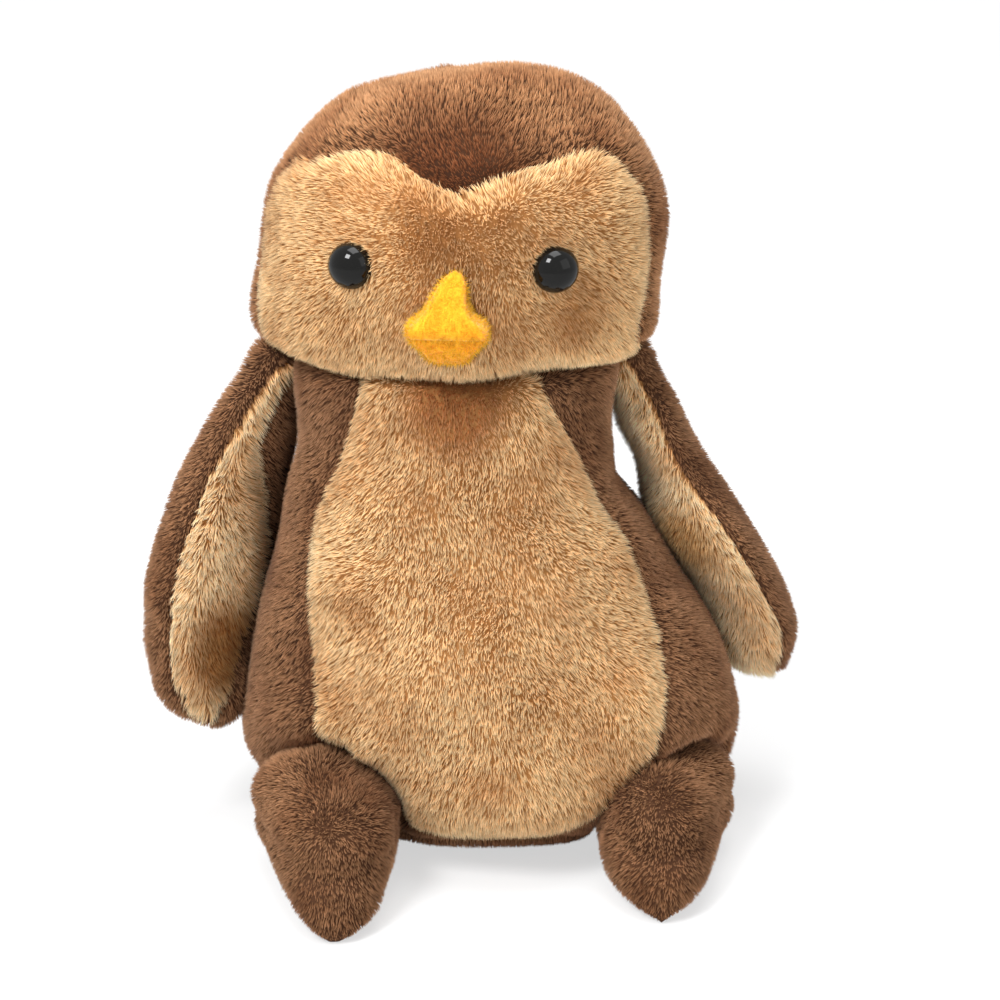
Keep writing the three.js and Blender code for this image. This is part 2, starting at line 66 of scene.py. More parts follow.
def place_camera():
    up = Vector((0, math.sin(SIGHT_HEIGHT), math.cos(SIGHT_HEIGHT)))
    back = Vector((0, -math.cos(SIGHT_HEIGHT), math.sin(SIGHT_HEIGHT)))
    data = bpy.data.cameras.new("camera")
    data.lens, data.sensor_width = LENS, SENSOR
    data.clip_start, data.clip_end = 0.02, 20
    camera = bpy.data.objects.new("camera", data)
    camera.location = SIGHT_POINT + back * SIGHT_DISTANCE
    aim = SIGHT_POINT + Vector((RIGHT_OF_SIGHT, 0, 0)) - up * BELOW_SIGHT
    camera.rotation_euler = (aim - camera.location).to_track_quat("-Z", "Y").to_euler()
    bpy.context.scene.collection.objects.link(camera)
    bpy.context.scene.camera = camera


place_camera()

# ---------------------------------------------------------------- finishes


def linear(red, green, blue):
    """A colour as seen on a screen, 0 to 255, in the shader's own scale."""
    parts = []
    for value in (red, green, blue):
        v = value / 255
        parts.append(v / 12.92 if v <= 0.04045 else ((v + 0.055) / 1.055) ** 2.4)
    return (*parts, 1)


class Reading:
    """A socket of a finish that can be used in sums."""

    def __init__(self, finish, socket):
        self.finish, self.socket = finish, socket

    def _sum(self, operation, first, second):
        return self.finish.node("ShaderNodeMath", {"operation": operation}, {0: first, 1: second})

    def __add__(self, other):
        return self._sum("ADD", self, other)

    def __radd__(self, other):
        return self._sum("ADD", other, self)

    def __sub__(self, other):
        return self._sum("SUBTRACT", self, other)

    def __rsub__(self, other):
        return self._sum("SUBTRACT", other, self)

    def __mul__(self, other):
        return self._sum("MULTIPLY", self, other)

    def __rmul__(self, other):
        return self._sum("MULTIPLY", other, self)


class Finish:
    """A material, or the world's light, whose nodes are made one after the other."""

    def __init__(self, name, tree=None):
        if tree is None:
            self.material = bpy.data.materials.new(name)
            self.material.use_nodes = True
            tree = self.material.node_tree
            tree.nodes.clear()
        self.tree = tree

    def node(self, kind, settings=None, values=None, output=0):
        made = self.tree.nodes.new(kind)
        for key, value in (settings or {}).items():
            if key == "stops":
                ramp = made.color_ramp
                while len(ramp.elements) < len(value):
                    ramp.elements.new(0.5)
                for stop, (place, colour) in zip(ramp.elements, value):
                    stop.position, stop.color = place, colour
            else:
                setattr(made, key, value)
        for key, value in (values or {}).items():
            socket = made.inputs[key]
            if isinstance(value, Reading):
                self.tree.links.new(value.socket, socket)
            else:
                socket.default_value = value
        return Reading(self, made.outputs[output])

    def place(self):
        """The place on the piece, in metres."""
        return self.node("ShaderNodeTexCoord", output="Object")

    def noise(self, size, detail, roughness=0.5):
        """Smooth noise from 0 to 1 whose lumps have about the given size."""
        return self.node(
            "ShaderNodeTexNoise",
            {"noise_dimensions": "3D"},
            {"Vector": self.place(), "Scale": 1 / size, "Detail": detail, "Roughness": roughness},
        )

    def spread(self, value, low, high, to_low=0.0, to_high=1.0):
        return self.node(
            "ShaderNodeMapRange",
            {"interpolation_type": "SMOOTHSTEP"},
            {"Value": value, "From Min": low, "From Max": high, "To Min": to_low, "To Max": to_high},
        )

    def mix(self, share, first, second, way="MIX"):
        return self.node(
            "ShaderNodeMix",
            {"data_type": "RGBA", "blend_type": way},
            {0: share, 6: first, 7: second},
            output=2,
        )

    def tinted(self, colour, tint):
        return self.mix(1.0, colour, tint, "MULTIPLY")

    def bump(self, height, strength, distance):
        return self.node(
            "ShaderNodeBump", None, {"Height": height, "Strength": strength, "Distance": distance}
        )

    def surface(self, **values):
        named = {key.replace("_", " "): value for key, value in values.items()}
        return self.node("ShaderNodeBsdfPrincipled", None, named)

    def finished(self, surface):
        out = self.tree.nodes.new("ShaderNodeOutputMaterial")
        self.tree.links.new(surface.socket, out.inputs["Surface"])
        return self.material

    def shade(self, **values):
        return self.finished(self.surface(**values))


def shade_of(finish, middle, reach):
    """1 at a shaded place's middle, 0 beyond its reach."""
    away = finish.node(
        "ShaderNodeVectorMath", {"operation": "DISTANCE"}, {0: finish.place(), 1: middle}, output="Value"
    )
    return finish.spread(away, 0.3 * reach, reach, to_low=1.0, to_high=0.0)


def pile_finish(name, root, body, tip, worn, shades=()):
    """Plush pile, its colour running from a dark root to a pale tip as painted shade deep in the pile and
    painted light on the tips, tinted where worn and at its shaded places.
    """
    f = Finish(name)
    along = f.node("ShaderNodeAttribute", {"attribute_name": "along"}, output="Fac")
    hair = f.node("ShaderNodeNewGeometry", output="Random Per Island")
    rubbed = f.noise(size=15 * MM, detail=3)
    tuft = f.noise(size=2.2 * MM, detail=2)
    # the ramp from root to tip is painted shade between the hairs and painted light on their tips
    colour = f.node(
        "ShaderNodeValToRGB", {"stops": [(0.0, root), (0.45, body), (1.0, tip)]}, {"Fac": along}
    )
    level = 0.62 + 0.5 * hair + 0.3 * f.spread(tuft, 0.3, 0.7)
    grey = f.node("ShaderNodeCombineColor", None, {0: level, 1: level, 2: level})
    colour = f.tinted(colour, grey)
    colour = f.mix(0.7 * f.spread(rubbed, 0.4, 0.75), colour, f.tinted(colour, worn))
    for middle, reach, tint in shades:
        colour = f.mix(shade_of(f, middle, reach), colour, f.tinted(colour, tint))
    return f.shade(
        Base_Color=colour, Roughness=0.85, Sheen_Weight=0.04, Sheen_Roughness=0.5, Specular_IOR_Level=0.08
    )


def backing_finish(name, dark, light):
    """The knitted ground under the pile, coloured darker than the pile as painted shade deep between the
    hairs.
    """
    f = Finish(name)
    knit = f.noise(size=0.7 * MM, detail=2)
    rubbed = f.noise(size=12 * MM, detail=3)
    return f.shade(
        Base_Color=f.mix(f.spread(rubbed, 0.3, 0.7) * 0.6 + 0.4 * knit, dark, light), Roughness=1.0,
        Normal=f.bump(knit, strength=0.6, distance=0.4 * MM), Specular_IOR_Level=0.1,
    )


def felt_finish(name, deep, bright):
    """Needle felt, matted and cloudy."""
    f = Finish(name)
    matted = f.noise(size=0.9 * MM, detail=4, roughness=0.65)
    cloudy = f.noise(size=4 * MM, detail=2)
    share = f.spread(matted, 0.3, 0.7) * 0.5 + f.spread(cloudy, 0.3, 0.7) * 0.5
    return f.shade(
        Base_Color=f.mix(share, deep, bright), Roughness=0.9,
        Normal=f.bump(matted, strength=0.7, distance=0.5 * MM), Sheen_Weight=0.3, Specular_IOR_Level=0.15,
    )


def eye_finish():
    f = Finish("black_eye_plastic")
    worn = f.noise(size=2.5 * MM, detail=3)
    return f.shade(
        Base_Color=f.mix(worn, linear(8, 8, 7), linear(14, 13, 12)), Roughness=0.05 + 0.05 * worn,
        Specular_IOR_Level=0.22,
    )


def plastic_finish(name, dark, light):
    f = Finish(name)
    grain = f.noise(size=0.5 * MM, detail=2)
    return f.shade(
        Base_Color=f.mix(grain, dark, light), Roughness=0.45 + 0.1 * grain,
        Normal=f.bump(grain, strength=0.2, distance=0.05 * MM),
    )


def fibre_finish():
    f = Finish("polyester_fibre")
    strands = f.noise(size=1.2 * MM, detail=6, roughness=0.7)
    return f.shade(
        Base_Color=f.mix(strands, linear(214, 210, 202), linear(248, 246, 240)), Roughness=1.0,
        Normal=f.bump(strands, strength=1.0, distance=1.2 * MM), Sheen_Weight=0.3,
    )


def bean_finish():
    f = Finish("plastic_beans")
    bean = 3 * MM
    cells = f.node(
        "ShaderNodeTexVoronoi", {"feature": "F1"}, {"Vector": f.place(), "Scale": 1 / bean, "Randomness": 0.8}
    )
    return f.shade(
        Base_Color=f.mix(f.spread(cells, 0, 0.7), linear(240, 238, 232), linear(150, 147, 140)),
        Roughness=0.5, Normal=f.bump(1 - cells, strength=1.0, distance=1.5 * MM),
    )


# ---------------------------------------------------------------- meshes


def new_piece(name, points, faces, finish):
    mesh = bpy.data.meshes.new(name)
    mesh.from_pydata([tuple(p) for p in points], [], [tuple(f) for f in faces])
    mesh.update()
    mesh.shade_smooth()
    mesh.materials.append(finish)
    piece = bpy.data.objects.new(name, mesh)
    bpy.context.scene.collection.objects.link(piece)
    return piece


def mesh_points(mesh):
    points = np.zeros(len(mesh.vertices) * 3)
    mesh.vertices.foreach_get("co", points)
    return points.reshape(-1, 3)


def mesh_faces(mesh):
    return [tuple(p.vertices) for p in mesh.polygons]


def surface_of(name):
    """A node's solid, ready to be asked for its nearest place."""
    mesh = nodes[name].data
    return BVHTree.FromPolygons(mesh_points(mesh).tolist(), mesh_faces(mesh))


def after_modifiers(piece):
    graph = bpy.context.evaluated_depsgraph_get()
    return bpy.data.meshes.new_from_object(piece.evaluated_get(graph))


def reshaped(points, faces, modifier, **settings):
    """The points and faces that one of Blender's modifiers makes of a mesh."""
    piece = new_piece("form", points, faces, None)
    added = piece.modifiers.new("shape", modifier)
    for key, value in settings.items():
        setattr(added, key, value)
    mesh = after_modifiers(piece)
    made = mesh_points(mesh), np.array(mesh_faces(mesh))
    bpy.data.objects.remove(piece)
    return made


def subdivided(points, faces):
    return reshaped(points, faces, "SUBSURF", levels=1)


def merged_nodes(names):
    """The solids of the named nodes together."""
    points, faces, count = [], [], 0
    for name in names:
        mesh = nodes[name].data
        points.append(mesh_points(mesh))
        faces += [tuple(v + count for v in face) for face in mesh_faces(mesh)]
        count += len(mesh.vertices)
    return np.concatenate(points), faces


def stretched_over(points):
    """The tight skin over the points, with no hollows."""
    skin = bmesh.new()
    for point in points:
        skin.verts.new(point)
    found = bmesh.ops.convex_hull(skin, input=skin.verts)
    loose = {item for key in ("geom_interior", "geom_unused") for item in found[key]}
    loose = [item for item in loose if isinstance(item, bmesh.types.BMVert)]
    bmesh.ops.delete(skin, geom=loose, context="VERTS")
    skin.verts.index_update()
    made = np.array([v.co for v in skin.verts]), [tuple(v.index for v in f.verts) for f in skin.faces]
    skin.free()
    return made


def with_root(points, faces, middle, reach):
    """The solids of a limb with the round stuffed root that it is sewn on by."""
    ball = bmesh.new()
    bmesh.ops.create_icosphere(ball, subdivisions=2, radius=reach)
    corners = np.array([v.co for v in ball.verts]) + np.array(middle)
    triangles = [tuple(v.index + len(points) for v in f.verts) for f in ball.faces]
    ball.free()
    return np.concatenate([points, corners]), list(faces) + triangles


def closed_form(names, voxel, full=False, root=None):
    """One closed skin round the solids of the named nodes, without hollows where it is full."""
    points, faces = merged_nodes(names)
    if full:
        points, faces = stretched_over(points)
    if root:
        points, faces = with_root(points, faces, *root)
    return reshaped(points, faces, "REMESH", mode="VOXEL", voxel_size=voxel)


def edges_of(faces):
    pairs = np.concatenate([faces[:, [i, (i + 1) % faces.shape[1]]] for i in range(faces.shape[1])])
    return np.unique(np.sort(pairs, 1), axis=0)


def evened(points, faces, rounds, pull=0.5, push=-0.52, held=None):
    """Points smoothed over their neighbours, each pull followed by a push so that nothing shrinks."""
    edges = edges_of(faces)
    count = np.maximum(np.bincount(edges.ravel(), minlength=len(points))[:, None], 1)
    points = points.copy()
    for _ in range(rounds):
        for share in (pull, push):
            total = np.zeros_like(points)
            np.add.at(total, edges[:, 0], points[edges[:, 1]])
            np.add.at(total, edges[:, 1], points[edges[:, 0]])
            step = share * (total / count - points)
            if held is not None:
                step[held] = 0
            points += step
    return points


def normals_of(points, faces):
    a, b, c, d = (points[faces[:, i]] for i in range(4))
    flat = np.cross(c - a, d - b)
    total = np.zeros_like(points)
    for i in range(4):
        np.add.at(total, faces[:, i], flat)
    return total / np.maximum(np.linalg.norm(total, axis=1), 1e-12)[:, None]


def nearest_nodes(points, names):
    """For each point, which of the named nodes is nearest."""
    best = np.zeros(len(points), int)
    least = np.full(len(points), np.inf)
    for index, name in enumerate(names):
        surface = surface_of(name)
        for i, point in enumerate(points):
            away = surface.find_nearest(point)[3]
            if away < least[i]:
                least[i], best[i] = away, index
    return best


def unit(vectors):
    return vectors / np.maximum(np.linalg.norm(vectors, axis=1), 1e-9)[:, None]


def smooth(values, low, high):
    """0 below low and 1 above high, with a soft way between."""
    t = np.clip((values - low) / (high - low), 0, 1)
    return t * t * (3 - 2 * t)


def around(values, middle, width):
    """1 at the middle, near 0 beyond the width."""
    return np.exp(-(((values - middle) / width) ** 2))


def lumps(points, seed, size, depth):
    """A smooth uneven depth at each point, as filling pushes the cloth out in places."""
    rng = np.random.default_rng(seed)
    waves = 14
    total = np.zeros(len(points))
    for _ in range(waves):
        direction = rng.normal(size=3)
        direction /= np.linalg.norm(direction)
        wave = 2 * math.pi / (size * rng.uniform(0.7, 1.6))
        total += np.sin(points @ direction * wave + rng.uniform(0, 2 * math.pi))
    return depth * total / math.sqrt(waves / 2)


# ---------------------------------------------------------------- stuffed forms

# the panels and the fillings of each body
FORMS = {
    "body": (
        [
            "belly_panel", "side_panel_left", "side_panel_right",
            "back_panel_left", "back_panel_right", "seat_panel",
        ],
        ["body_beans", "body_stuffing"],
    ),
    "head": (["face_panel", "hood_panel", "head_back_left", "head_back_right"], ["head_stuffing"]),
    "wing_left": (["wing_left_lining", "wing_left_outer"], ["wing_left_stuffing"]),
    "wing_right": (["wing_right_lining", "wing_right_outer"], ["wing_right_stuffing"]),
    "leg_left": (["leg_left_top", "leg_left_sole"], ["leg_left_beans"]),
    "leg_right": (["leg_right_top", "leg_right_sole"], ["leg_right_beans"]),
}
BODY_VOXEL, HEAD_VOXEL, LIMB_VOXEL = 3.4 * MM, 3 * MM, 2.4 * MM
ROOT_REACH = {"wing_left": 6.6 * MM, "wing_right": 5.8 * MM}  # the stuffing round the shoulder seams
RESTING = 1.2 * MM  # what lies this near the floor stays flat
LUMPS_IN, SEAMS_IN = 6 * MM, 3 * MM  # from there up, lumps and sunk seams come in over these heights
EVENING_ROUNDS = {"body": 6, "head": 6, "wing": 9, "leg": 12}
# the cloth lies this far inside its solid, and the pile fills the rest
PILE_ROOM = {"body": 0.6 * MM, "head": 0.4 * MM, "wing": 0.5 * MM, "leg": 0.8 * MM}
LUMP_SIZE, LUMP_DEPTH = 26 * MM, 0.5 * MM
CLOTH_THICKNESS = 1.2 * MM
LOWEST_INNER = 0.4 * MM  # how far above the floor the cloth's inner side stays
CLOTH_MASS, FILLING_PRESSURE, CLOTH_STIFFNESS = 0.001, 600, 8
PUFF_FRAMES, MOST_PUFF = 20, 2.2 * MM
SEAM_DEPTH, SEAM_WIDTH = 1.3 * MM, 2.2 * MM

# the cut between hood and face over the brow, from left to right: across and up
PEAK_CUT = np.array([
    (-33.2, 143.2), (-29.7, 145.2), (-25.5, 147.0), (-20.6, 148.0), (-16.4, 148.0), (-13.0, 146.4),
    (-11.3, 145.2), (-6.1, 142.8), (-3.4, 141.8), (0.1, 142.8), (4.2, 144.4), (9.3, 146.0),
    (14.4, 147.0), (19.0, 147.9), (23.4, 148.0), (27.1, 145.0), (30.3, 141.0),
]) * MM
CUT_ABOVE, CUT_BEFORE = 136 * MM, 8 * MM  # faces that are lower or further back keep their panel

# the face's edge at the left cheek, from its chin up: up and back
EDGE_CUT = np.array([(105, 3), (115, 3.6), (123.5, 7.3), (131, 9.5), (139, 8), (143, 2)]) * MM
CHEEK_LEFT_OF = -28 * MM


def kind_of_body(body):
    return body.split("_")[0]


def rolled_edge(points):
    """The strip along the left wing's inner edge that its outer cloth is rolled round; its dark brown there
    is also painted shade for the gap between wing and body.
    """
    x, _, z = points.T
    slices = np.linspace(z.min(), z.max(), 40)
    edge = np.interp(z, slices, [x[np.abs(z - at) < 2.5 * MM].max() for at in slices])
    down = z.max() - z
    at_armpit, at_tip = around(down, 20 * MM, 9 * MM), smooth(down, 42 * MM, 62 * MM)
    strip = MM * (3.2 + 2.6 * at_armpit + 1.3 * at_tip)
    return (edge - x < strip) & (down > 8 * MM)


def cut_face(points, panel, hood, face):
    """The hood and face panels, divided along the cuts over the brow and at the left cheek."""
    x, y, z = points.T
    over = (x > PEAK_CUT[0, 0]) & (x < PEAK_CUT[-1, 0]) & (z > CUT_ABOVE) & (y < CUT_BEFORE)
    above = z > np.interp(x, *PEAK_CUT.T)
    panel[over & above & (panel == face)] = hood
    panel[over & ~above & (panel == hood)] = face
    cheek_side = (x < CHEEK_LEFT_OF) & (z > EDGE_CUT[0, 0]) & (z < EDGE_CUT[-1, 0])
    panel[cheek_side & (y < np.interp(z, *EDGE_CUT.T))] = face


def bent_wing(left, points, low, high):
    """The left wing is full along its inner edge. The right one is slim at its top and bent in at its tip."""
    x, _, z = points.T
    shift = np.zeros_like(points)
    to_body = 1 if left else -1
    down = high[2] - z
    slices = np.linspace(low[2], high[2], 24)
    middle = np.interp(z, slices, [x[np.abs(z - at) < 5 * MM].mean() for at in slices])
    inner = smooth(to_body * (x - middle), 1 * MM, 9 * MM)
    if left:
        low_down, tip = smooth(down, 35 * MM, 60 * MM), smooth(down, 40 * MM, 55 * MM)
        shift[:, 0] = inner * MM * (1.6 + 1.6 * low_down) + 0.8 * MM * tip
    else:
        outer = smooth(x - middle, -6 * MM, 4 * MM)
        shift[:, 0] = -inner * 1.8 * MM * smooth(down, 26 * MM, 40 * MM)
        shift[:, 0] -= 2.6 * MM * smooth(down, 60 * MM, 72 * MM)
        shift[:, 0] -= 2.6 * MM * around(down, 24 * MM, 11 * MM) * outer
        shift[:, 0] += 0.6 * MM * around(down, 27 * MM, 7 * MM) * inner
    return shift


def bent_leg(left, points, low, high):
    """The toes taper, most of all on their outer sides, and the hips are full."""
    x, y, _ = points.T
    shift = np.zeros_like(points)
    outward = -1 if left else 1
    outer_taper, inner_taper = 0.28, -0.06 if left else 0.12
    fullness = 4 * MM if left else 2.6 * MM
    toe = smooth(-y, -(low[1] + 20 * MM), -low[1])
    aside = x - (low[0] + high[0]) / 2
    shift[:, 0] = -np.where(outward * aside > 0, outer_taper, inner_taper) * toe * aside
    edge = low[0] if left else high[0]
    near_edge = smooth(14 * MM - np.abs(x - edge), 0, 14 * MM)
    hip = smooth(y, low[1] + 12 * MM, high[1] - 6 * MM) * near_edge
    shift[:, 0] += outward * fullness * hip
    return shift


def bent_body(points, low, high):
    """The hips are full, the armpits are pinched and the belly's underside is drawn up."""
    x, y, z = points.T
    shift = np.zeros_like(points)
    aside = x - (low[0] + high[0]) / 2
    side = np.sign(aside)
    shift[:, 0] = side * smooth(np.abs(aside), 24 * MM, 44 * MM) * 2 * MM * around(z, 24 * MM, 14 * MM)
    armpit = around(z, 75 * MM, 7 * MM) * smooth(np.abs(aside), 10 * MM, 26 * MM)
    shift[:, 0] -= np.where(side > 0, 2.3 * MM, 1.6 * MM) * armpit
    before = smooth(-y, -(low[1] + 26 * MM), -(low[1] + 8 * MM))
    shift[:, 2] = 2.2 * MM * before * around(z, 6 * MM, 8 * MM)
    return shift


def bent_head(points, low, high):
    """The cheeks are full at the chin, and the crown is drawn in at the left."""
    x, _, z = points.T
    shift = np.zeros_like(points)
    aside = x - (low[0] + high[0]) / 2
    cheeks = around(z, low[2] + 3 * MM, 6 * MM) * smooth(np.abs(aside), 18 * MM, 34 * MM)
    shift[:, 0] = np.sign(aside) * 1.2 * MM * cheeks
    at_left = smooth(low[0] + 32 * MM - x, 0, 14 * MM)
    shift[:, 0] += 1.6 * MM * at_left * around(z, high[2] - 9 * MM, 8 * MM)
    return shift


def bent(body, points):
    """The form with the small bends and fullnesses that its solids leave out."""
    low, high = points.min(0), points.max(0)
    left = body.endswith("left")
    if body.startswith("wing"):
        return points + bent_wing(left, points, low, high)
    if body.startswith("leg"):
        return points + bent_leg(left, points, low, high)
    return points + (bent_body if body == "body" else bent_head)(points, low, high)


def sewn_points(points, faces, names):
    """Where the panels are sewn together: the points whose neighbour is nearest to another panel."""
    panel = nearest_nodes(points, names)
    edges = edges_of(faces)
    crossing = edges[panel[edges[:, 0]] != panel[edges[:, 1]]]
    sewn = np.zeros(len(points), bool)
    sewn[crossing.ravel()] = True
    return sewn


def puffed(points, faces, held):
    """The closed form blown out by its filling between its held points, by a cloth simulation."""
    piece = new_piece("form", points, faces, None)
    group = piece.vertex_groups.new(name="held")
    group.add([int(i) for i in np.flatnonzero(held)], 1.0, "REPLACE")
    cloth = piece.modifiers.new("cloth", "CLOTH")
    settings = cloth.settings
    settings.quality, settings.mass = 5, CLOTH_MASS
    settings.use_pressure, settings.uniform_pressure_force = True, FILLING_PRESSURE
    settings.effector_weights.gravity = 0
    settings.vertex_group_mass = "held"
    settings.tension_stiffness = settings.compression_stiffness = CLOTH_STIFFNESS
    settings.shear_stiffness, settings.bending_stiffness = 3, 0.1
    cloth.point_cache.frame_start, cloth.point_cache.frame_end = 1, PUFF_FRAMES
    for frame_number in range(1, PUFF_FRAMES + 1):
        bpy.context.scene.frame_set(frame_number)
    blown = mesh_points(after_modifiers(piece))
    bpy.data.objects.remove(piece)
    bpy.context.scene.frame_set(1)
    step = blown - points
    length = np.linalg.norm(step, axis=1)[:, None]
    return points + step * np.minimum(1, MOST_PUFF / np.maximum(length, 1e-9))


class Form:
    """A stuffed form: its points, faces, normals, and the panel that each face belongs to."""

    def __init__(self, body):
        self.body = body
        self.names, self.filling = FORMS[body]
        kind = kind_of_body(body)
        voxel = {"body": BODY_VOXEL, "head": HEAD_VOXEL}.get(body, LIMB_VOXEL)
        joint = next((j["pos_m"] for j in frame["joints"] if j["child"] == body), None)
        root = (joint, ROOT_REACH[body]) if body in ROOT_REACH else None
        points, faces = closed_form(self.names + self.filling, voxel, full=kind == "leg", root=root)
        flat = points[:, 2] < RESTING
        points = evened(points, faces, EVENING_ROUNDS[kind], held=flat)
        points = puffed(points, faces, sewn_points(points, faces, self.names) | flat)
        for _ in range(1 if voxel == LIMB_VOXEL else 2):
            points, faces = subdivided(points, faces)
        self.panel = nearest_nodes(points[faces].mean(1), self.names)
        if body == "wing_left":
            # the rolled strip's brown cloth is partly painted shade in the gap by the body
            self.panel[rolled_edge(points[faces].mean(1))] = self.names.index("wing_left_outer")
        if body == "head":
            hood, face = (self.names.index(name) for name in ("hood_panel", "face_panel"))
            cut_face(points[faces].mean(1), self.panel, hood, face)
        normals = normals_of(points, faces)
        clear = np.clip((points[:, 2] - RESTING) / LUMPS_IN, 0, 1)
        seed = len(body) * 7 + len(self.names)
        uneven = lumps(points, seed, LUMP_SIZE, LUMP_DEPTH) - PILE_ROOM[kind]
        self.points = bent(body, points + normals * (uneven * clear)[:, None])
        self.faces = faces
        self.find_seams()
        self.sink_seams()
        # means of the nearby normals, which are short where the cloth turns sharply
        self.normals = evened(normals_of(self.points, self.faces), self.faces, rounds=4, pull=1.0, push=0.0)
        self.skin = BVHTree.FromPolygons(self.points.tolist(), self.faces.tolist())

    def find_seams(self):
        """The middle of each edge between two panels, to look up the nearest."""
        owner, spots = {}, []
        for index, face in enumerate(self.faces):
            for i in range(4):
                edge = (min(face[i], face[(i + 1) % 4]), max(face[i], face[(i + 1) % 4]))
                other = owner.setdefault(edge, index)
                if self.panel[other] != self.panel[index]:
                    spots.append(self.points[list(edge)].mean(0))
        self.seams = tree_of(spots)

    def way_to_seam(self, points):
        """The nearest seam spot of each point, and how far away it is."""
        spots, away = np.zeros_like(points), np.zeros(len(points))
        for i, point in enumerate(points):
            spots[i], _, away[i] = self.seams.find(point)
        return spots, away

    def sink_seams(self):
        """The stitches pull the cloth in along a seam."""
        _, away = self.way_to_seam(self.points)
        normals = normals_of(self.points, self.faces)
        above = np.clip((self.points[:, 2] - RESTING) / SEAMS_IN, 0, 1)
        depth = SEAM_DEPTH * np.exp(-((away / SEAM_WIDTH) ** 2)) * above
        self.points = self.points - normals * depth[:, None]

    def kept_inside(self, points, depth):
        """Points of a filling, those too near the cloth's outer side drawn in."""
        points = points.copy()
        for _ in range(3):
            for i, point in enumerate(points):
                spot, way, _, _ = self.skin.find_nearest(point)
                if (spot - Vector(point)).dot(way) < depth:
                    points[i] = spot - way * depth
        return points


def tree_of(points):
    """The points, ready to be asked for the nearest."""
    tree = KDTree(len(points))
    for index, point in enumerate(points):
        tree.insert(point, index)
    tree.balance()
    return tree


def panel_piece(form, index, finish):
    """The cloth of one panel, as a closed sheet whose inner side lies a cloth's thickness in."""
    faces = form.faces[form.panel == index]
    used, inverse = np.unique(faces, return_inverse=True)
    faces = inverse.reshape(faces.shape)
    outer = form.points[used]
    inner = outer - form.normals[used] * CLOTH_THICKNESS
    inner[:, 2] = np.maximum(inner[:, 2], LOWEST_INNER)
    count = len(used)
    edges = np.concatenate([faces[:, [i, (i + 1) % 4]] for i in range(4)])
    seen_once = {}
    for a, b in edges:
        key = (min(a, b), max(a, b))
        seen_once[key] = None if key in seen_once else (a, b)
    rim = [(b, a, a + count, b + count) for a, b in (edge for edge in seen_once.values() if edge is not None)]
    turned = [tuple(int(v) + count for v in face[::-1]) for face in faces]
    all_faces = [tuple(face) for face in faces] + turned + rim
    piece = new_piece(form.names[index] + "_cloth", np.concatenate([outer, inner]), all_faces, finish)
    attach(piece, form.body)
    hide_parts(form.names[index])
    return piece


# ---------------------------------------------------------------- pile

HAIR_MAP = "OFBake"
DENSITY = 7  # hairs on a square millimetre
HAIRS_IN_TUFT = 4
TUFT_PULL = 0.22  # how far a tip is drawn to its tuft's
ROOT_DEPTH = 0.25 * MM  # the hairs' feet lie this deep in the cloth
LOWEST_HAIR, LOWEST_ROOT = 0.1 * MM, 0.8 * MM  # above the floor
FULL_LENGTH_FROM = 5 * MM  # the hairs are shorter below this height, where the cloth rests on the floor
SEAM_REACH = 4 * MM  # this near a seam the hairs lean to it or off it
SEAM_LENGTH = 0.3  # share by which hairs at a seam are longer if they hang over it, or else shorter
STIR, STIR_SIZE = 0.16, 17 * MM  # how uneven the nap is over the cloth, and the size of its swirls
STRAY = 0.15  # how uneven it is from hair to hair
LENGTHS, WIDTHS = (0.75, 1.1), (0.75, 1.25)  # from the least to the most, as shares


def roots_on(points, faces, normals, density, rng):
    """Places on the faces where hairs grow, spread by area, and the normals there."""
    a, b, c, d = (points[faces[:, i]] for i in range(4))
    area = 0.5 * np.linalg.norm(np.cross(c - a, d - b), axis=1)
    count = int(area.sum() / MM**2 * density)
    picked = rng.choice(len(faces), size=count, p=area / area.sum())
    u, v = rng.random((2, count, 1))

    def inside(values):
        a, b, c, d = (values[faces[picked][:, i]] for i in range(4))
        return (1 - u) * (1 - v) * a + u * (1 - v) * b + u * v * c + (1 - u) * v * d

    return inside(points), unit(inside(normals))


def hair_map(count):
    """For each hair a small cell of the map, with the tip in the middle and the foot beside it."""
    cells = math.ceil(math.sqrt(count))
    cell = np.stack([np.arange(count) % cells, np.arange(count) // cells], 1)
    rim, tip = [(0.06, 0.12), (0.94, 0.12), (0.5, 0.96)], (0.5, 0.4)
    sides = [rim[0], rim[1], tip, rim[1], rim[2], tip, rim[2], rim[0], tip]
    foot = [(0.04, 0.6), (0.2, 0.9), (0.04, 0.9)]
    return (cell[:, None, :] + np.array(sides + foot)[None, :, :]) / cells


